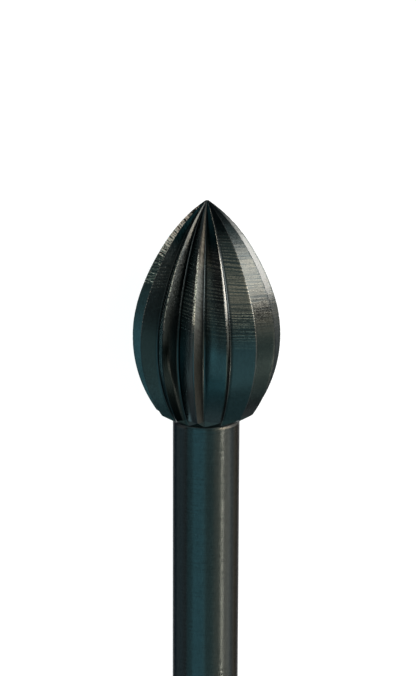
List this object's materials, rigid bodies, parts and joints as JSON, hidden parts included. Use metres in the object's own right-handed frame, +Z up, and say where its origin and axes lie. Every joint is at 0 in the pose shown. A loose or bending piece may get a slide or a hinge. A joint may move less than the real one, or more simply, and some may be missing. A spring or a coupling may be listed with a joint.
{
  "type": "bud bur",
  "caption": "Small rotary cutter with a pointed bud head of straight saw-shaped flutes on a plain round handpiece shank.",
  "frame": {"origin": "on the floor under the middle of the box that holds the lying bur", "axes": "+Y from the shank's end to the tip, +Z up from the floor that the bur rests on"},
  "size_m": [0.0052, 0.0446, 0.005],
  "materials": {
    "tool_steel": "dark hardened tool steel, ground bright on the shank and left with cutter marks on the flutes"
  },
  "bodies": {
    "root": {"bud_bur": "tool_steel"}
  },
  "joints": []
}
